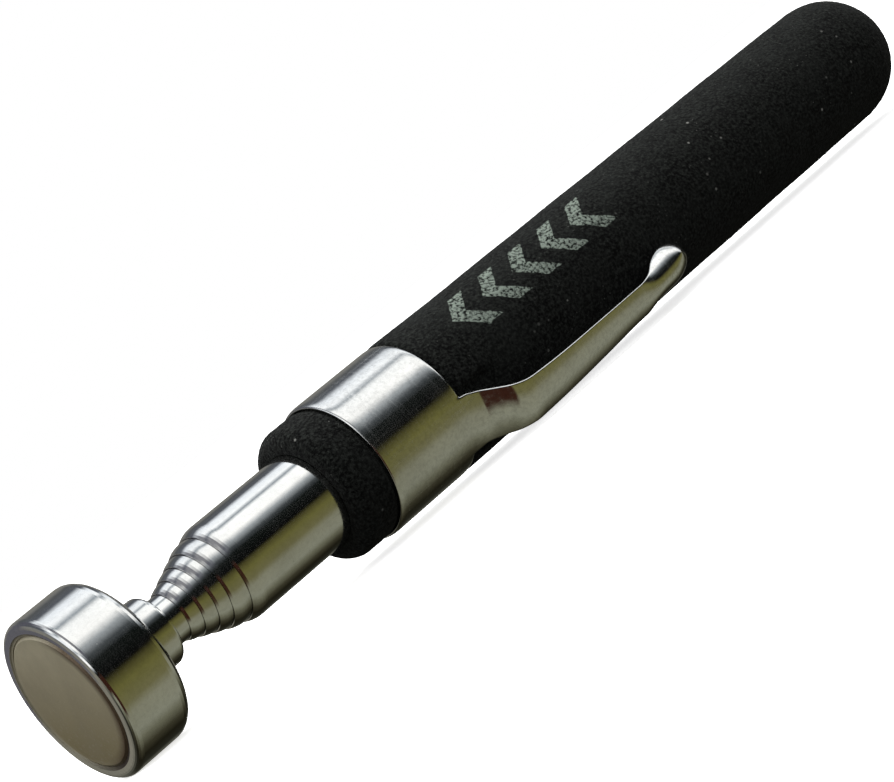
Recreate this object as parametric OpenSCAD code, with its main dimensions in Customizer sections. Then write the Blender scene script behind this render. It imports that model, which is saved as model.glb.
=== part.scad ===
// Telescopic magnetic pickup tool: a magnet head on a six-section mast, with a foam grip and a pocket clip.
// X runs from the centre of the magnet's face (origin) back to the closed end of the grip, and Z is up.
// The tool lies as it rests on a bench: on the cup's rim, the clip's arm and the grip's end.

/* [Magnet head] */
// Diameter of the magnet cup
head_d = 17.4; // [17:0.1:19]
// Length of the magnet cup without its boss
head_len = 7.1; // [7:0.1:8.5]
// Diameter of the magnet disc
magnet_d = 14.5; // [13:0.1:14.6]
// Thickness of the magnet disc
magnet_t = 4.4; // [3:0.1:4.4]
// Width of the potting ring round the magnet
potting_w = 0.3; // [0.2:0.05:0.4]
// Diameter of the boss behind the cup
boss_d = 7.4; // [6.8:0.1:8]
// Length of the boss
boss_len = 4.2; // [4:0.1:4.3]

/* [Mast] */
// Outer diameter of the fixed section
mast_d = 10.6; // [10.5:0.1:11]
// Difference in diameter from one section to the next
section_step = 1.1; // [1.06:0.02:1.12]
// Wall of every section
tube_wall = 0.3; // [0.25:0.05:0.3]
// Where the fixed section's nose is, behind the magnet's face
mast_front = 19; // [18.9:0.1:20]
// How far the second section stands out of the fixed one when closed
first_reveal = 1.9; // [1.5:0.1:2]
// How far each further section stands out of the one round it when closed
reveal = 1.35; // [1.2:0.05:1.35]
// Length of the friction bush on each sliding section's tail
bush_len = 4; // [3:0.5:6]
// Radial clearance of every sliding fit
slide_gap = 0.04; // [0.03:0.01:0.05]

/* [Grip] */
// Closed length of the whole tool
tool_len = 130; // [128:1:134]
// Where the front face of the foam is
grip_front = 32.2; // [31:0.1:33]
// Diameter of the foam in front of the band
collar_d = 15; // [14.8:0.1:15.4]
// Diameter of the foam just behind the band
grip_d = 15.6; // [15.4:0.1:15.7]
// Diameter of the foam at its domed end
tail_d = 15.2; // [15:0.1:15.4]

/* [Pocket clip] */
// Outer diameter of the band round the grip
band_d = 15.7; // [15.7:0.1:16]
// Thickness of the clip's spring steel
sheet_t = 0.5; // [0.4:0.05:0.6]
// Where the band starts
band_front = 36.8; // [36:0.1:38]
// Width of the band along the tool
band_len = 11.5; // [11:0.1:12]
// Angle of the arm from straight down, towards -Y, at which the arm touches the bench
clip_angle = 55; // [54:1:58]

/* [Hidden] */
$fn = 96;
sections = 6;
eps = 0.01;

// Head: edge radii, the pocket's floor and the fixings inside
rim_round = 0.7;
back_round = 1.4;
boss_round = 0.6;
boss_end = head_len + boss_len;
groove_depth = 0.15;
magnet_chamfer = 0.3;
rivet_shank_d = 2.4;
rivet_head_d = 4.6;
rivet_head_t = 0.9;
rivet_end = 12.4;
tip_seat = head_len + 0.7;
tip_plug_end = 14;

// Mast: radii from the outside in, noses and tails along the tool
nose_len = 1.5;
nose_edge = 0.08;
nose_drop = section_step / 2 - slide_gap - nose_edge;
nose_angle = 2 * atan(nose_drop / nose_len);
nose_arc_r = nose_len / sin(nose_angle);
lip_len = 1.1;
tube_end = 124;
plug_len = 3;
plug_flange_t = 1;
tail_stagger = 0.4;
bush_slot = 0.8;

// Grip: edge radii and the reliefs under the band and under the arm's root
front_round = 1.3;
shoulder_round = 0.5;
band_seat_r = band_d / 2 - sheet_t;
band_end = band_front + band_len;
root_gap = 0.2;
relief_len = 4.6;
relief_angle = 27;
relief_r = band_seat_r - 0.15;
dome_x = tool_len - tail_d / 2;

// Arm stations: place along the tool, height of the crown, depth of the channel, half width, and edge angle
ARM = [
    [band_end + root_gap, band_d / 2, 0.7, 3.25, 25],
    [49.7, 8.09, 0.66, 3.1, 30],
    [51.2, 9.3, 0.6, 2.85, 36],
    [52.8, 10.69, 0.57, 2.65, 40],
    [54.6, 11.32, 0.55, 2.5, 42],
    [58, 11.35, 0.5, 2.33, 42],
    [66, 11.09, 0.45, 2.05, 42],
    [73, 10.83, 0.45, 1.85, 44],
    [75.2, 10.95, 1.2, 1.85, 60],
    [77, 10.85, 2.2, 2.1, 80],
    [79, 10.65, 2.7, 2.25, 86],
    [80.8, 10.1, 2.2, 1.9, 86],
    [81.9, 9.4, 1.4, 1.2, 86],
    [82.3, 8.95, 0.7, 0.5, 86]
];
arm_cavity_end = 10;
arc_steps = 10;

function tube_r(n) = (mast_d - (n - 1) * section_step) / 2;
function nose_x(n) = n == 1 ? mast_front : mast_front - first_reveal - (n - 2) * reveal;
function tail_x(n) = n == 1 ? tube_end : tube_end - plug_len - n * tail_stagger;

// Points of an arc about a centre, from one angle to another
function arc(centre, r, from, to, steps = 6) =
    [for (i = [0:steps]) let (a = from + (to - from) * i / steps) centre + r * [cos(a), sin(a)]];

// Turns a profile drawn as [radius, place along the tool] about the tool's axis
module turned(points) {
    rotate([0, 90, 0])
        rotate_extrude()
            polygon(points);
}

// A solid or hollow round piece on the axis
module round_bar(from, to, r) {
    translate([from, 0, 0])
        rotate([0, 90, 0])
            cylinder(h = to - from, r = r);
}

module tube(from, to, r_out, r_in) {
    difference() {
        round_bar(from, to, r_out);
        round_bar(from - 1, to + 1, r_in);
    }
}

// Steel pot with a rounded rim, a pocket for the magnet and a boss that takes the mast's tip
module magnet_cup() {
    r = head_d / 2;
    boss_r = boss_d / 2;
    pocket_r = magnet_d / 2 + potting_w;
    color("silver")
        turned(concat(
            [[pocket_r, magnet_t]],
            [[pocket_r, 0]],
            arc([r - rim_round, rim_round], rim_round, -90, 0),
            arc([r - back_round, head_len - back_round], back_round, 0, 90),
            [[boss_r, head_len]],
            arc([boss_r - boss_round, boss_end - boss_round], boss_round, 0, 90),
            [[tube_r(sections), boss_end], [tube_r(sections), tip_seat]],
            [[rivet_shank_d / 2, tip_seat], [rivet_shank_d / 2, magnet_t + rivet_head_t]],
            [[rivet_head_d / 2, magnet_t + rivet_head_t], [rivet_head_d / 2, magnet_t]]
        ));
}

// Nickel-plated magnet with a chamfered edge, flush with the cup's rim
module magnet_disc() {
    r = magnet_d / 2;
    color("lightgray")
        turned([[0, 0], [r - magnet_chamfer, 0], [r, magnet_chamfer], [r, magnet_t], [0, magnet_t]]);
}

// Resin that holds the magnet, set back from the face
module potting_ring() {
    color("dimgray")
        tube(groove_depth, magnet_t, magnet_d / 2 + potting_w, magnet_d / 2);
}

// Rivet under the magnet that holds the cup on the mast
module head_rivet() {
    color("darkgray") {
        round_bar(magnet_t, magnet_t + rivet_head_t, rivet_head_d / 2);
        round_bar(magnet_t + rivet_head_t - eps, rivet_end, rivet_shank_d / 2);
    }
}

// Solid slug in the tip of the last section that the rivet is set in
module tip_plug() {
    color("darkgray")
        difference() {
            round_bar(tip_seat, tip_plug_end, tube_r(sections) - tube_wall);
            round_bar(tip_seat - 1, rivet_end, rivet_shank_d / 2);
        }
}

// A sliding or fixed mast section: a tube whose nose is rolled in round the next section
module mast_section(n) {
    r = tube_r(n);
    bore = r - tube_wall;
    color("silver")
        if (n == sections)
            tube(tip_seat, tail_x(n), r, bore);
        else
            turned(concat(
                [[tube_r(n + 1) + slide_gap, nose_x(n) + lip_len]],
                [[tube_r(n + 1) + slide_gap, nose_x(n)]],
                arc([r - nose_arc_r, nose_x(n) + nose_len], nose_arc_r, -nose_angle, 0),
                [[r, tail_x(n)], [bore, tail_x(n)], [bore, nose_x(n) + lip_len]]
            ));
}

// Split bronze sleeve round a section's tail that rubs in the section outside it
module friction_bush(n) {
    r = tube_r(n);
    color("peru")
        difference() {
            tube(tail_x(n) - bush_len, tail_x(n), tube_r(n - 1) - tube_wall - slide_gap, r);
            translate([tail_x(n) - bush_len - 1, -bush_slot / 2, 0])
                cube([bush_len + 2, bush_slot, r + 2]);
        }
}

// Plug that closes the fixed section inside the grip
module rear_plug() {
    color("black") {
        round_bar(tube_end - plug_len, tube_end, tube_r(1) - tube_wall);
        round_bar(tube_end - eps, tube_end + plug_flange_t, tube_r(1));
    }
}

// Foam sleeve with a domed end, necked under the band and relieved under the arm's root
module grip_sleeve() {
    bore = tube_r(1);
    color([0.09, 0.09, 0.09])
        difference() {
            turned(concat(
                [[bore, tube_end + plug_flange_t]],
                [[bore, grip_front]],
                arc([collar_d / 2 - front_round, grip_front + front_round], front_round, -90, 0),
                [[collar_d / 2, band_front - shoulder_round], [band_seat_r, band_front]],
                [[band_seat_r, band_end]],
                arc([grip_d / 2 - shoulder_round, band_end + shoulder_round], shoulder_round, -60, 0),
                arc([0, dome_x], tail_d / 2, 0, 90, 14),
                [[0, tube_end + plug_flange_t]]
            ));
            rotate([270 - clip_angle - relief_angle, 0, 0])
                rotate([0, 90, 0])
                    translate([0, 0, band_end - eps])
                        rotate([0, 0, 90])
                            rotate_extrude(angle = 2 * relief_angle)
                                translate([relief_r, 0])
                                    square([grip_d / 2, relief_len]);
        }
}

// Rolled band that holds the clip on the grip
module clip_band() {
    color("silver")
        tube(band_front, band_end, band_d / 2, band_seat_r);
}

// Outline of the arm's section at a station, shrunk by the sheet's thickness for the cavity
module arm_slice(station, t) {
    half = station[3] - t * sin(station[4]);
    rise = station[2] - t * (1 - cos(station[4]));
    top = station[1] - t;
    floor_h = t == 0 ? top - rise - sheet_t * cos(station[4]) : top - rise - 1;
    crown = [for (i = [-arc_steps:arc_steps]) let (a = station[4] * i / arc_steps)
        [half * sin(a) / sin(station[4]), top - rise * (1 - cos(a)) / (1 - cos(station[4]))]];
    translate([station[0], 0, 0])
        rotate([90, 0, 90])
            linear_extrude(height = eps)
                polygon(concat(crown, [[half, floor_h], [-half, floor_h]]));
}

// Skin through a run of stations, as hulls of one slice and the next
module arm_loft(last, t) {
    for (i = [0:last - 1])
        hull() {
            arm_slice(ARM[i], t);
            arm_slice(ARM[i + 1], t);
        }
}

// Spring arm: a crowned channel that rises from the band and ends in a rounded foot on the foam
module clip_arm() {
    color("silver")
        rotate([180 - clip_angle, 0, 0])
            difference() {
                arm_loft(len(ARM) - 1, 0);
                translate([-eps, 0, 0])
                    arm_loft(arm_cavity_end, sheet_t);
            }
}

magnet_cup();
magnet_disc();
potting_ring();
head_rivet();
tip_plug();
for (n = [1:sections])
    mast_section(n);
for (n = [2:sections])
    friction_bush(n);
rear_plug();
grip_sleeve();
clip_band();
clip_arm();
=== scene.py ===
"""Looks of the telescopic magnetic pickup tool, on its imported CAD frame. Metres, in the CAD's own axes."""

import math

import bmesh
import bpy
from mathutils import Matrix, Vector, noise


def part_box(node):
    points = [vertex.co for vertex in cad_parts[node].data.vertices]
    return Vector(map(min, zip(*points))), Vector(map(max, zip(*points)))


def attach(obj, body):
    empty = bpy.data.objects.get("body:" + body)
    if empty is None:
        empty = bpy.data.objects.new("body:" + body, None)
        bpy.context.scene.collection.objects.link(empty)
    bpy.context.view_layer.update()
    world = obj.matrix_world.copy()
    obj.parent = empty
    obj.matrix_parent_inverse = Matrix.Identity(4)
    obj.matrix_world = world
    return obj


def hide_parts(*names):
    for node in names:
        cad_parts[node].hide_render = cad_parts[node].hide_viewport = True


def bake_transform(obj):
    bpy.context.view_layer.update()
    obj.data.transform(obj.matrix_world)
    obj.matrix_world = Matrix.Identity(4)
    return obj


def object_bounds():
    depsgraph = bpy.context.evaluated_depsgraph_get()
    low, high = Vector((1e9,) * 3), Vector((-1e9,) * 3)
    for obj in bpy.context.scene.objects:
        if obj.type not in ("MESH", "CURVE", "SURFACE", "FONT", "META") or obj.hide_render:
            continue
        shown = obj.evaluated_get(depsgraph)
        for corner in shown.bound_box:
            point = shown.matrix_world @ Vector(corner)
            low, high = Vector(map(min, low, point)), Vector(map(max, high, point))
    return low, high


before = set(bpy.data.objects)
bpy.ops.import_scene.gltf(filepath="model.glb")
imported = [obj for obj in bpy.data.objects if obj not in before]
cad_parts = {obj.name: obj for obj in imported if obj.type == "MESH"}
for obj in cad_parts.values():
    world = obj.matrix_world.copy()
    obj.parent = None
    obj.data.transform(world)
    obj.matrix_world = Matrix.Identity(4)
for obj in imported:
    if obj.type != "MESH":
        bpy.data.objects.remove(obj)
cad_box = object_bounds()

MM = 0.001

# ---------------------------------------------------------------- camera
LENS = 101.9
SENSOR = 36.0
CAMERA_AT = Vector((-89.5, -211.54, 10.35)) * MM
CAMERA_ALONG = Vector((0.5574, 0.8292, -0.0424))
CAMERA_UP = Vector((0.5353, -0.3199, 0.7817))

# ---------------------------------------------------------------- sizes read from the frame
band_low, band_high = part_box("clip_band")
grip_low, grip_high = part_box("grip_sleeve")
FLOOR_Z = cad_box[0].z
SHEET = 0.5 * MM
BAND_R = band_high.z
SEAT_R = BAND_R - SHEET
BAND_FRONT, BAND_END = band_low.x, band_high.x
GRIP_FRONT, GRIP_END = grip_low.x, grip_high.x
MAST_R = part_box("mast_section_1")[1].z
COLLAR_R = 7.5 * MM
GRIP_R = 7.8 * MM
TAIL_R = 7.6 * MM
CLIP_AZIMUTH = math.radians(270 - 55)
CAMERA_AZIMUTH = math.radians(177.2)
PRINT_AZIMUTH = CAMERA_AZIMUTH - math.radians(35)
PRINT_X = 64.9 * MM


def around(x, r, azimuth):
    """A point at a place along the tool, a radius and an angle round its axis from +Y towards +Z."""
    return Vector((x, r * math.cos(azimuth), r * math.sin(azimuth)))


def smooth(a, b, x):
    """0 below a, 1 above b and a soft step between."""
    t = min(1.0, max(0.0, (x - a) / (b - a)))
    return t * t * (3 - 2 * t)


# ---------------------------------------------------------------- node helpers
class Graph:
    """A small wrapper that makes and links the nodes of one tree."""

    def __init__(self, tree):
        self.nodes, self.links = tree.nodes, tree.links

    def feed(self, socket, value):
        if isinstance(value, (int, float, tuple)):
            socket.default_value = value
        else:
            self.links.new(value, socket)

    def math(self, operation, a, b=0.0, c=0.0, clamp=False):
        n = self.nodes.new("ShaderNodeMath")
        n.operation, n.use_clamp = operation, clamp
        for socket, value in zip(n.inputs, (a, b, c)):
            self.feed(socket, value)
        return n.outputs[0]

    def span(self, value, low, high, to_low=0.0, to_high=1.0, eased=False):
        n = self.nodes.new("ShaderNodeMapRange")
        n.interpolation_type = "SMOOTHSTEP" if eased else "LINEAR"
        self.feed(n.inputs["Value"], value)
        for key, v in (("From Min", low), ("From Max", high), ("To Min", to_low), ("To Max", to_high)):
            n.inputs[key].default_value = v
        return n.outputs[0]

    def mix(self, share, a, b):
        n = self.nodes.new("ShaderNodeMix")
        n.data_type = "RGBA"
        self.feed(n.inputs["Factor"], share)
        for socket, value in ((n.inputs[6], a), (n.inputs[7], b)):
            if isinstance(value, tuple):
                socket.default_value = (*value, 1)
            else:
                self.links.new(value, socket)
        return n.outputs[2]

    def split(self, vector):
        n = self.nodes.new("ShaderNodeSeparateXYZ")
        self.links.new(vector, n.inputs[0])
        return n.outputs


class Shader(Graph):
    """A principled material and the patterns it is made of, placed in the object's own coordinates."""

    def __init__(self, name):
        self.mat = bpy.data.materials.new(name)
        self.mat.use_nodes = True
        super().__init__(self.mat.node_tree)
        self.bsdf = self.nodes["Principled BSDF"]
        self.place = self.nodes.new("ShaderNodeTexCoord").outputs["Object"]

    def set(self, **values):
        for key, value in values.items():
            self.bsdf.inputs[key.replace("_", " ")].default_value = value

    def noise(self, scale, detail=3.0, rough=0.5, stretch=None):
        n = self.nodes.new("ShaderNodeTexNoise")
        n.inputs["Scale"].default_value = scale
        n.inputs["Detail"].default_value = detail
        n.inputs["Roughness"].default_value = rough
        self.links.new(self.stretched(stretch) if stretch else self.place, n.inputs["Vector"])
        return n.outputs["Fac"]

    def cells(self, scale):
        n = self.nodes.new("ShaderNodeTexVoronoi")
        n.inputs["Scale"].default_value = scale
        self.links.new(self.place, n.inputs["Vector"])
        return n.outputs["Distance"]

    def stretched(self, scale):
        n = self.nodes.new("ShaderNodeMapping")
        n.inputs["Scale"].default_value = scale
        self.links.new(self.place, n.inputs["Vector"])
        return n.outputs["Vector"]

    def bump(self, height, distance, strength=1.0, under=None):
        n = self.nodes.new("ShaderNodeBump")
        n.inputs["Distance"].default_value = distance
        n.inputs["Strength"].default_value = strength
        self.links.new(height, n.inputs["Height"])
        if under is not None:
            self.links.new(under, n.inputs["Normal"])
        return n.outputs["Normal"]

    def out(self, key, value):
        self.links.new(value, self.bsdf.inputs[key])

    def xyz(self):
        return self.split(self.place)


# ---------------------------------------------------------------- materials
def chrome(name, tint=(0.90, 0.90, 0.885), rough=0.045, grain=0.25):
    """Bright plate: cloudy smears, hairline scratches round and along the tube, and a few dull specks."""
    s = Shader(name)
    s.set(Metallic=1.0)
    cloud = s.noise(170, 4, 0.6)
    haze = s.noise(900, 2, 0.6)
    round_lines = s.noise(260, 3, 0.7, stretch=(14, 0.5, 0.5))
    long_lines = s.noise(420, 2, 0.6, stretch=(0.12, 5, 5))
    specks = s.span(s.cells(900), 0.02, 0.12, 1, 0)
    dull = s.math("MULTIPLY", specks, s.span(cloud, 0.5, 0.66))
    colour = s.mix(s.span(cloud, 0.35, 0.7), tint, tuple(0.88 * c for c in tint))
    film = s.math("MULTIPLY", s.span(s.noise(2300, 3, 0.7), 0.42, 0.68), grain)
    s.out("Base Color", s.mix(film, colour, tuple(0.62 * c for c in tint)))
    both_ways = s.math("ADD", s.span(round_lines, 0.5, 0.8), s.span(long_lines, 0.5, 0.8))
    lines = s.math("MULTIPLY", both_ways, grain * 0.3)
    base = s.span(s.math("ADD", cloud, s.math("MULTIPLY", haze, 0.35)), 0.5, 0.95, rough, rough + 0.09)
    dull_share = s.math("MULTIPLY", dull, 0.25)
    s.out("Roughness", s.math("ADD", s.math("ADD", base, lines), dull_share, clamp=True))
    soft = s.bump(haze, 0.006 * MM, 0.5)
    scratch = s.bump(round_lines, 0.004 * MM, grain, soft)
    s.out("Normal", s.bump(long_lines, 0.003 * MM, grain, scratch))
    return s.mat


def satin_magnet():
    """Nickel plate gone beige: mottled, scratched, with painted shade that makes it darker and olive lower
    down, and stained brown at one edge.
    """
    s = Shader("magnet_satin")
    s.set(Metallic=0.7)
    cloud = s.noise(240, 5, 0.62)
    fine = s.noise(2600, 3, 0.7)
    _, y, z = s.xyz()
    radius = s.math("SQRT", s.math("ADD", s.math("MULTIPLY", y, y), s.math("MULTIPLY", z, z)))
    edge = s.span(radius, 6.4 * MM, 7.1 * MM)
    # painted shade: the face's colour turns darker and olive towards the bottom
    shade_towards_bottom = s.math("SUBTRACT", s.math("MULTIPLY", y, 0.38), s.math("MULTIPLY", z, 0.92))
    colour = s.mix(s.span(shade_towards_bottom, -5 * MM, 7 * MM), (0.70, 0.64, 0.47), (0.34, 0.28, 0.14))
    colour = s.mix(s.math("MULTIPLY", s.span(cloud, 0.35, 0.68), 0.45), colour, (0.42, 0.37, 0.26))
    colour = s.mix(s.math("MULTIPLY", s.span(fine, 0.52, 0.75), 0.3), colour, (0.80, 0.75, 0.62))
    colour = s.mix(s.math("MULTIPLY", edge, 0.25), colour, (0.66, 0.62, 0.48))
    near = s.math("ADD", s.math("MULTIPLY", y, -0.94), s.math("MULTIPLY", z, -0.35))
    stain = s.math("MULTIPLY", s.span(radius, 6.1 * MM, 6.9 * MM), s.span(near, 0.5 * MM, 4 * MM))
    s.out("Base Color", s.mix(s.math("MULTIPLY", stain, 0.85), colour, (0.12, 0.07, 0.04)))
    s.out("Roughness", s.span(fine, 0.3, 0.75, 0.42, 0.62))
    scratch = s.noise(300, 3, 0.7, stretch=(1, 9, 0.7))
    lumps = s.bump(fine, 0.02 * MM, 0.6)
    s.out("Normal", s.bump(scratch, 0.006 * MM, 0.4, lumps))
    return s.mat


def potting():
    """Dark resin in the groove, slightly shiny and uneven."""
    s = Shader("potting_dark")
    s.set(Roughness=0.5)
    _, y, z = s.xyz()
    near = s.math("ADD", s.math("MULTIPLY", y, -0.94), s.math("MULTIPLY", z, -0.35))
    dark = s.mix(s.noise(1500), (0.014, 0.010, 0.009), (0.055, 0.036, 0.028))
    s.out("Base Color", s.mix(s.span(near, -4 * MM, 3 * MM), (0.34, 0.31, 0.22), dark))
    s.out("Normal", s.bump(s.noise(2200), 0.05 * MM))
    return s.mat


def bronze():
    """Bare bronze with a film of grease and drag lines along the tube."""
    s = Shader("bronze_bush")
    s.set(Metallic=1.0)
    drag = s.noise(500, 3, 0.6, stretch=(0.1, 4, 4))
    s.out("Base Color", s.mix(drag, (0.55, 0.33, 0.14), (0.32, 0.19, 0.09)))
    s.out("Roughness", s.span(drag, 0.3, 0.7, 0.22, 0.45))
    s.out("Normal", s.bump(drag, 0.01 * MM))
    return s.mat


def plain_steel():
    """Turned steel of the rivet and the slug."""
    s = Shader("plain_steel")
    s.set(Metallic=1.0)
    rings = s.noise(700, 2, 0.6, stretch=(6, 0.4, 0.4))
    s.out("Base Color", s.mix(rings, (0.5, 0.5, 0.5), (0.36, 0.35, 0.34)))
    s.out("Roughness", s.span(rings, 0.3, 0.7, 0.28, 0.5))
    s.out("Normal", s.bump(rings, 0.01 * MM))
    return s.mat


def black_plastic():
    """Moulded plug with a fine spark-eroded skin."""
    s = Shader("plug_plastic")
    grain = s.noise(2500, 3, 0.6)
    s.out("Base Color", s.mix(grain, (0.012, 0.012, 0.012), (0.03, 0.03, 0.03)))
    s.out("Roughness", s.span(grain, 0.3, 0.7, 0.5, 0.7))
    s.out("Normal", s.bump(grain, 0.02 * MM))
    return s.mat


def foam_print(s, grain):
    """Share of worn grey ink: a plain row of chevrons along the grip, broken up by the foam's grain."""
    x, y, z = s.xyz()
    turned = s.math("ARCTAN2", z, y)
    across = s.math("MULTIPLY", s.math("SUBTRACT", turned, PRINT_AZIMUTH), GRIP_R)
    across = s.math("ABSOLUTE", across)
    along = s.math("SUBTRACT", x, PRINT_X)
    pitch, stroke, half_length, half_height = 4.8 * MM, 2.0 * MM, 12 * MM, 2.7 * MM
    shifted = s.math("SUBTRACT", s.math("ADD", along, half_length), s.math("MULTIPLY", across, 0.9))
    in_cell = s.math("PINGPONG", s.math("ADD", shifted, pitch / 2), pitch / 2)
    edge = s.math("MULTIPLY", s.math("SUBTRACT", s.noise(1400, 3, 0.7), 0.5), 0.5 * MM)
    bars = s.span(s.math("ADD", in_cell, edge), stroke / 2, stroke / 2 + 0.08 * MM, 1, 0)
    from_middle = s.math("ABSOLUTE", s.math("SUBTRACT", shifted, half_length))
    ends = s.span(from_middle, half_length, half_length + 0.1 * MM, 1, 0)
    sides = s.span(s.math("ADD", across, edge), half_height, half_height + 0.1 * MM, 1, 0)
    ink = s.math("MULTIPLY", s.math("MULTIPLY", bars, ends), sides)
    worn = s.span(grain, 0.4, 0.56)
    return s.math("MULTIPLY", ink, worn)


def foam():
    """Black closed-cell foam: fine grains, pores, brown-grey bloom, pale dust specks and the worn print."""
    s = Shader("foam_black")
    grain = s.noise(3000, 3, 0.65)
    fine = s.noise(7000, 2, 0.6)
    cloud = s.noise(150, 4, 0.6)
    pores = s.span(s.cells(2400), 0.1, 0.42)
    colour = s.mix(s.span(grain, 0.42, 0.66), (0.0006, 0.0007, 0.0007), (0.0200, 0.0222, 0.0200))
    colour = s.mix(s.math("MULTIPLY", s.span(cloud, 0.45, 0.75), 0.4), colour, (0.016, 0.018, 0.0165))
    dust = s.math("MULTIPLY", s.span(s.cells(520), 0.05, 0.11, 1, 0), s.span(s.noise(90, 2), 0.5, 0.62))
    bits = s.math("MULTIPLY", s.span(s.cells(1500), 0.06, 0.14, 1, 0), s.span(s.noise(260, 2), 0.52, 0.64))
    colour = s.mix(s.math("MULTIPLY", bits, 0.55), colour, (0.16, 0.16, 0.15))
    colour = s.mix(s.math("MULTIPLY", dust, 0.75), colour, (0.30, 0.30, 0.28))
    colour = s.mix(s.math("MULTIPLY", foam_print(s, grain), 0.8), colour, (0.26, 0.31, 0.265))
    s.out("Base Color", colour)
    s.out("Roughness", s.span(grain, 0.3, 0.7, 0.78, 0.98))
    s.set(Sheen_Weight=0.03, Sheen_Roughness=0.5, Specular_IOR_Level=0.08)
    coarse = s.bump(grain, 0.14 * MM, 0.9)
    pitted = s.bump(pores, 0.08 * MM, 0.5, coarse)
    s.out("Normal", s.bump(fine, 0.05 * MM, 0.6, pitted))
    return s.mat


def dress(node, material):
    """Gives a CAD node its material."""
    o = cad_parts[node]
    o.data.materials.clear()
    o.data.materials.append(material)


# ---------------------------------------------------------------- mesh helpers
def mesh_object(name, verts, faces, material, body=None, nodes=()):
    """A smooth-shaded piece from points and faces, on its body when one is given, in place of the CAD nodes
    it hides.
    """
    mesh = bpy.data.meshes.new(name)
    mesh.from_pydata([tuple(v) for v in verts], [], faces)
    mesh.validate()
    mesh.polygons.foreach_set("use_smooth", [True] * len(mesh.polygons))
    mesh.materials.append(material)
    o = bpy.data.objects.new(name, mesh)
    bpy.context.scene.collection.objects.link(o)
    if body:
        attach(o, body)
    if nodes:
        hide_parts(*nodes)
    return o


def arc(centre, r, start, end, steps):
    """Points of an arc in (radius, place along) pairs."""
    cx, cy = centre
    return [
        (cx + r * math.cos(math.radians(start + (end - start) * i / steps)),
         cy + r * math.sin(math.radians(start + (end - start) * i / steps)))
        for i in range(steps + 1)
    ]


def refined(points, longest):
    """The same outline with no stretch longer than a limit."""
    out = [points[0]]
    for a, b in zip(points, points[1:]):
        n = max(1, math.ceil(math.dist(a, b) / longest))
        out += [(a[0] + (b[0] - a[0]) * i / n, a[1] + (b[1] - a[1]) * i / n) for i in range(1, n + 1)]
    return out


def revolved(profile, segments, close_axis_end=False):
    """Points and faces of a profile of (radius, place along) pairs turned about the tool's axis."""
    verts, faces = [], []
    rows = profile[:-1] if close_axis_end else profile
    for r, x in rows:
        verts += [around(x, r, 2 * math.pi * i / segments) for i in range(segments)]
    for j in range(len(rows) - 1):
        for i in range(segments):
            a, b = j * segments + i, j * segments + (i + 1) % segments
            faces.append((a, b, b + segments, a + segments))
    if close_axis_end:
        tip, last = len(verts), (len(rows) - 1) * segments
        verts.append(Vector((profile[-1][1], 0, 0)))
        faces += [(last + i, last + (i + 1) % segments, tip) for i in range(segments)]
    return verts, faces


# ---------------------------------------------------------------- foam grip
def foam_outline():
    """Outside of the grip from its front hole to its domed end, with the neck under the band."""
    lip, shoulder = 1.5 * MM, 0.9 * MM
    dome_x = GRIP_END - TAIL_R
    points = [(MAST_R - 0.02 * MM, GRIP_FRONT + 1.6 * MM), (MAST_R - 0.02 * MM, GRIP_FRONT + 0.35 * MM)]
    points += arc((MAST_R + 0.13 * MM, GRIP_FRONT + 0.15 * MM), 0.15 * MM, 180, 270, 4)
    points += arc((COLLAR_R - lip, GRIP_FRONT + lip), lip, -90, 0, 10)
    points += arc((COLLAR_R - shoulder, BAND_FRONT - shoulder * 0.7), shoulder, 0, 40, 4)
    points += [(SEAT_R - 0.03 * MM, BAND_FRONT + 0.3 * MM), (SEAT_R - 0.03 * MM, BAND_END - 0.3 * MM)]
    points += arc((GRIP_R - shoulder, BAND_END + shoulder * 0.7), shoulder, -45, 0, 5)
    points += arc((0, dome_x), TAIL_R, 0, 90, 34)
    return refined(points, 0.34 * MM)


def foam_grip(material):
    """Foam sleeve with real grain, soft waves, handling dents and the pinch under the clip's root."""
    segments = 300
    verts, faces = revolved(foam_outline(), segments, close_axis_end=True)
    grain_scale, wave_scale = 1 / (0.45 * MM), 1 / (9 * MM)
    for v in verts:
        r = math.hypot(v.y, v.z)
        if r < MAST_R + 0.3 * MM and v.x < GRIP_FRONT + 2 * MM:
            continue
        azimuth = math.atan2(v.z, v.y)
        off = abs((azimuth - CLIP_AZIMUTH + math.pi) % (2 * math.pi) - math.pi)
        outward = Vector((0, v.y, v.z)) / r if r > 1e-6 else Vector((1, 0, 0))
        if v.x > GRIP_END - TAIL_R:
            outward = (v - Vector((GRIP_END - TAIL_R, 0, 0))).normalized()
        grain = noise.noise(v * grain_scale) * 0.035 * MM
        wave = noise.noise(v * wave_scale) * 0.07 * MM
        push = grain + wave - (0.05 if v.x > GRIP_END - TAIL_R else 0.0) * MM
        if BAND_FRONT - 0.1 * MM < v.x < BAND_END + 0.1 * MM:
            push = -0.05 * MM
        beside, behind = smooth(math.radians(25), math.radians(33), off), smooth(52.3 * MM, 54.4 * MM, v.x)
        root = (1 - beside) * (1 - behind)
        if v.x > BAND_END - 0.4 * MM:
            push -= root * max(0.0, r - 7.05 * MM)
        v += outward * push
    o = mesh_object("foam_grip", verts, faces, material, "grip", ("grip_sleeve",))
    return o


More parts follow.
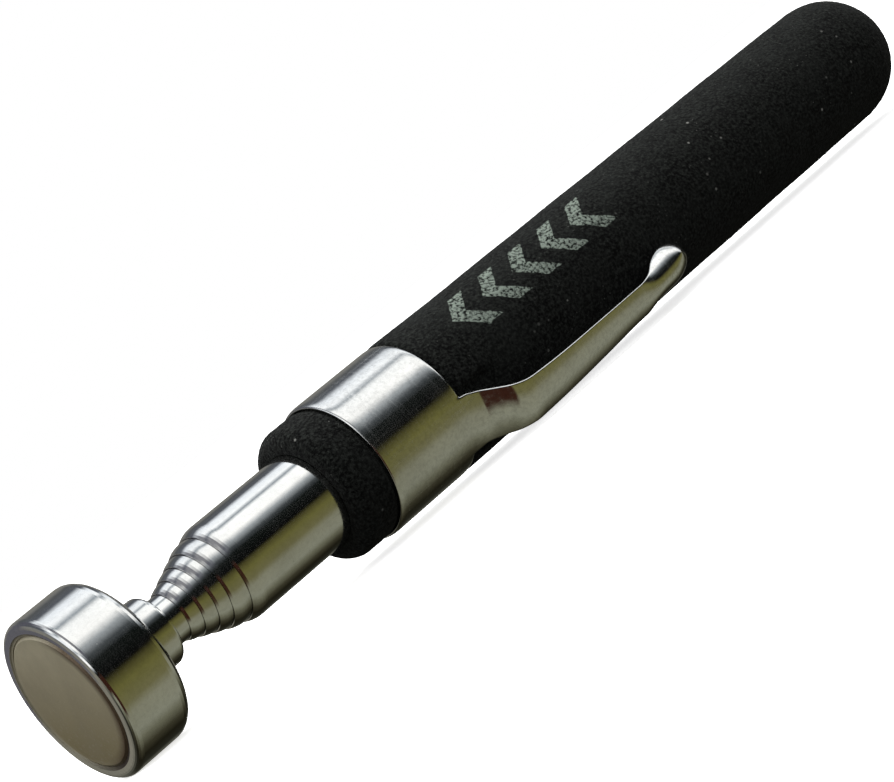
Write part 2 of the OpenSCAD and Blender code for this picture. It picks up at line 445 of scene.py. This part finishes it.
# ---------------------------------------------------------------- pocket clip
# Place along the tool, crown height, channel depth, half width (all mm) and edge angle (degrees)
ARM = [
    (48.3, 7.85, 0.73, 3.30, 25),
    (49.7, 8.09, 0.66, 3.10, 30),
    (51.2, 9.3, 0.6, 2.85, 36),
    (52.8, 10.69, 0.57, 2.65, 40),
    (54.6, 11.32, 0.55, 2.50, 42),
    (58.0, 11.35, 0.5, 2.33, 42),
    (66.0, 11.09, 0.45, 2.05, 42),
    (73.0, 10.83, 0.45, 1.85, 44),
    (75.2, 10.95, 1.2, 1.85, 60),
    (77.0, 10.85, 2.2, 2.10, 80),
    (79.0, 10.65, 2.7, 2.25, 86),
    (80.8, 10.1, 2.2, 1.90, 86),
    (81.9, 9.4, 1.4, 1.20, 86),
    (82.3, 8.95, 0.7, 0.50, 86),
]


def eased(stations, count):
    """The stations run through by a smooth curve with no overshoot, at even steps of its own length."""
    xs = [0.0]
    for a, b in zip(stations, stations[1:]):
        xs.append(xs[-1] + math.dist(a[:2], b[:2]))

    def slopes(ys):
        d = [(b - a) / (q - p) for a, b, p, q in zip(ys, ys[1:], xs, xs[1:])]
        inner = [0 if p * q <= 0 else 2 * p * q / (p + q) for p, q in zip(d, d[1:])]
        return [d[0], *inner, d[-1]]

    columns = list(zip(*stations))
    tangents = [slopes(c) for c in columns]
    out = []
    for k in range(count + 1):
        s = xs[-1] * k / count
        i = min(len(xs) - 2, max(j for j in range(len(xs)) if xs[j] <= s + 1e-12))
        h = xs[i + 1] - xs[i]
        t = (s - xs[i]) / h
        row = []
        for ys, m in zip(columns, tangents):
            row.append(ys[i] * (2 * t**3 - 3 * t**2 + 1) + m[i] * h * (t**3 - 2 * t**2 + t)
                       + ys[i + 1] * (3 * t**2 - 2 * t**3) + m[i + 1] * h * (t**3 - t**2))
        out.append(row)
    return out


def arm_point(row, across):
    """A point of the arm's outer skin: across runs from -1 to 1 over the channel."""
    x, top, rise, half, edge = row
    a = math.radians(edge) * across
    e = math.radians(edge)
    y = -half * math.sin(a) / math.sin(e)
    z = top - rise * (1 - math.cos(a)) / (1 - math.cos(e))
    spin = Matrix.Rotation(CLIP_AZIMUTH - math.pi / 2, 4, "X")
    return spin @ (Vector((x, y, z)) * MM)


def pocket_clip(material):
    """Band and arm as one stamping: a thin sheet with rounded edges that bends at the arm's root."""
    columns, arm_columns, band_rows, arm_rows = 144, 20, 9, 58
    step = 2 * math.pi / columns
    verts, faces = [], []
    for j in range(band_rows + 1):
        x = BAND_FRONT + (BAND_END - BAND_FRONT) * j / band_rows
        verts += [around(x, BAND_R, CLIP_AZIMUTH + step * (i - arm_columns / 2)) for i in range(columns)]
    for j in range(band_rows):
        for i in range(columns):
            a, b = j * columns + i, j * columns + (i + 1) % columns
            faces.append((a, b, b + columns, a + columns))
    last = [band_rows * columns + i for i in range(arm_columns + 1)]
    rows = eased(ARM, arm_rows)
    for row in rows[1:]:
        fresh = [len(verts) + i for i in range(arm_columns + 1)]
        flare = 1 + 0.10 * (1 - smooth(48.3, 49.6, row[0]))
        verts += [arm_point(row, (2 * i / arm_columns - 1) * (flare if row[0] < 49.6 else 1))
                  for i in range(arm_columns + 1)]
        faces += [(last[i], last[i + 1], fresh[i + 1], fresh[i]) for i in range(arm_columns)]
        last = fresh
    tip = len(verts)
    verts.append(sum((verts[i] for i in last), Vector()) / len(last))
    faces += [(last[i], last[i + 1], tip) for i in range(arm_columns)]
    o = mesh_object("pocket_clip", verts, faces, material, None, ("clip_band", "clip_arm"))
    bm = bmesh.new()
    bm.from_mesh(o.data)
    bmesh.ops.recalc_face_normals(bm, faces=bm.faces)
    outward = sum(f.normal.yz.dot(f.calc_center_median().yz) for f in bm.faces)
    if outward < 0:
        bmesh.ops.reverse_faces(bm, faces=bm.faces)
    bm.to_mesh(o.data)
    bm.free()
    thick = o.modifiers.new("sheet", "SOLIDIFY")
    thick.thickness, thick.offset, thick.use_even_offset = SHEET, -1, False
    soft = o.modifiers.new("round", "SUBSURF")
    soft.levels = soft.render_levels = 2
    settle(o)
    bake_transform(o)
    return o


def settle(o):
    """Applies the piece's modifiers to its mesh."""
    bpy.context.view_layer.update()
    evaluated = o.evaluated_get(bpy.context.evaluated_depsgraph_get())
    mesh = bpy.data.meshes.new_from_object(evaluated)
    o.modifiers.clear()
    o.data = mesh
    mesh.polygons.foreach_set("use_smooth", [True] * len(mesh.polygons))


# ---------------------------------------------------------------- studio
# Degrees about the tool's axis from the camera, negative over the top, and the colour there
STUDIO = [
    (-180, (0.22, 0.21, 0.17)), (-150, (0.20, 0.20, 0.19)), (-138, (0.09, 0.095, 0.10)),
    (-120, (0.10, 0.11, 0.13)), (-109, (0.95, 1.0, 1.06)), (-92, (1.15, 1.18, 1.2)),
    (-83, (0.28, 0.32, 0.36)), (-75, (1.2, 1.22, 1.22)), (-52, (1.2, 1.2, 1.18)),
    (-40, (0.38, 0.41, 0.43)), (-28, (0.055, 0.063, 0.068)), (-18, (0.004, 0.006, 0.005)),
    (4, (0.003, 0.003, 0.003)), (12, (0.070, 0.064, 0.020)), (24, (0.135, 0.128, 0.038)),
    (45, (0.150, 0.142, 0.066)), (58, (0.225, 0.225, 0.160)), (84, (0.240, 0.245, 0.185)),
    (97, (0.140, 0.140, 0.095)), (112, (0.045, 0.042, 0.025)), (128, (0.012, 0.011, 0.006)),
    (148, (0.02, 0.02, 0.014)), (164, (0.10, 0.10, 0.08)), (180, (0.22, 0.21, 0.17)),
]
NOSE_SHADE = (0.09, 0.09, 0.115)
BROWN_PATCH = (0.036, 0.013, 0.008)
PATCH_LEVEL = 0.55


def mirrored_studio(g, place):
    """What the chrome shows: the studio's ramp, dim ahead of the noses, with one small brown patch."""
    turn = g.nodes.new("ShaderNodeVectorRotate")
    turn.rotation_type = "X_AXIS"
    turn.inputs["Angle"].default_value = -CAMERA_AZIMUTH
    g.links.new(place, turn.inputs["Vector"])
    x, y, z = g.split(turn.outputs[0])
    angle = g.math("ARCTAN2", z, y)
    ramp = g.nodes.new("ShaderNodeValToRGB")
    g.links.new(g.span(angle, -math.pi, math.pi), ramp.inputs["Fac"])
    while len(ramp.color_ramp.elements) < len(STUDIO):
        ramp.color_ramp.elements.new(0.5)
    for element, (degrees, colour) in zip(ramp.color_ramp.elements, STUDIO):
        element.position = (degrees + 180) / 360
        element.color = (*colour, 1)
    ahead = g.math("MULTIPLY", g.span(x, -0.01, -0.2, 0.0, 0.85), g.span(x, -0.42, -0.52, 1.0, 0.0))
    overhead = g.span(angle, -0.4, -0.65)
    colour = g.mix(g.math("MULTIPLY", ahead, overhead), ramp.outputs["Color"], NOSE_SHADE)
    off_level = g.math("ABSOLUTE", g.math("SUBTRACT", angle, PATCH_LEVEL))
    patch = g.math("MULTIPLY", g.span(x, -0.40, -0.47), g.span(off_level, 0.75, 0.45, eased=True))
    return g.mix(patch, colour, BROWN_PATCH)


def studio_world():
    """One studio seen three ways: white by the camera, a ramp by shiny skins, lit from above by dull ones."""
    world = bpy.data.worlds.new("studio")
    bpy.context.scene.world = world
    world.use_nodes = True
    g = Graph(world.node_tree)
    g.nodes.clear()
    place = g.nodes.new("ShaderNodeTexCoord").outputs["Generated"]
    path = g.nodes.new("ShaderNodeLightPath").outputs

    def backdrop(**inputs):
        n = g.nodes.new("ShaderNodeBackground")
        for key, value in inputs.items():
            g.feed(n.inputs[key], value)
        return n.outputs[0]

    def choose(share, other, chosen):
        n = g.nodes.new("ShaderNodeMixShader")
        for socket, value in zip(n.inputs, (share, other, chosen)):
            g.links.new(value, socket)
        return n.outputs[0]

    white = backdrop(Color=(1, 1, 1, 1), Strength=1.0)
    sky = backdrop(Color=(0.8, 0.8, 0.8, 1), Strength=g.span(g.split(place)["Z"], -0.1, 0.75, 0.13, 1.5))
    mirror = backdrop(Color=mirrored_studio(g, place))
    dull = choose(path["Is Diffuse Ray"], white, sky)
    surface = choose(path["Is Glossy Ray"], dull, mirror)
    g.links.new(surface, g.nodes.new("ShaderNodeOutputWorld").inputs["Surface"])


def soft_light(name, direction, distance, size, power):
    """A large soft light aimed at the middle of the tool."""
    target = Vector((60, 0, 0)) * MM
    data = bpy.data.lights.new(name, "AREA")
    data.shape, data.size, data.energy = "DISK", size, power
    data.use_shadow = True
    o = bpy.data.objects.new(name, data)
    bpy.context.scene.collection.objects.link(o)
    away = Vector(direction).normalized()
    o.location = target + away * distance
    o.rotation_euler = away.to_track_quat("Z", "Y").to_euler()
    o.visible_glossy = False
    return o


def pale_floor():
    """A wide pale disc under the tool that glows a little, so that it meets the background without a line."""
    s = Shader("floor_pale")
    s.set(Roughness=0.9, Specular_IOR_Level=0.1, Emission_Strength=0.7)
    s.bsdf.inputs["Emission Color"].default_value = (1, 1, 1, 1)
    s.out("Base Color", s.mix(s.noise(9), (0.90, 0.90, 0.90), (0.93, 0.93, 0.93)))
    radius, segments = 12.0, 96
    turns = [2 * math.pi * i / segments for i in range(segments)]
    ring = [Vector((radius * math.cos(t), radius * math.sin(t), FLOOR_Z)) for t in turns]
    floor = mesh_object("floor", ring, [tuple(range(segments))], s.mat)
    floor.visible_glossy = False
    floor.visible_diffuse = False


def camera():
    data = bpy.data.cameras.new("camera")
    data.lens, data.sensor_width = LENS, SENSOR
    data.clip_start, data.clip_end = 0.01, 100
    o = bpy.data.objects.new("camera", data)
    bpy.context.scene.collection.objects.link(o)
    back = -CAMERA_ALONG.normalized()
    side = CAMERA_UP.cross(back).normalized()
    up = back.cross(side)
    o.matrix_world = Matrix.Translation(CAMERA_AT) @ Matrix((side, up, back)).transposed().to_4x4()
    bpy.context.scene.camera = o


# ---------------------------------------------------------------- the scene
camera()
studio_world()
soft_light("key", (-0.1, 0.25, 1.0), 0.9, 0.7, 9)
soft_light("fill", (-0.6, -1.0, 0.35), 1.2, 1.0, 0.8)
pale_floor()
bpy.context.scene.view_settings.view_transform = "Standard"
bpy.context.scene.view_settings.look = "None"

plate = chrome("chrome_plate")
band_plate = chrome("chrome_clip", rough=0.09, grain=0.5)
steel, resin, brass = plain_steel(), potting(), bronze()
dress("magnet_cup", plate)
dress("magnet_disc", satin_magnet())
dress("potting_ring", resin)
dress("head_rivet", steel)
dress("tip_plug", steel)
dress("rear_plug", black_plastic())
for n in range(1, 7):
    dress(f"mast_section_{n}", plate)
    if n > 1:
        dress(f"friction_bush_{n}", brass)
foam_grip(foam())
pocket_clip(band_plate)
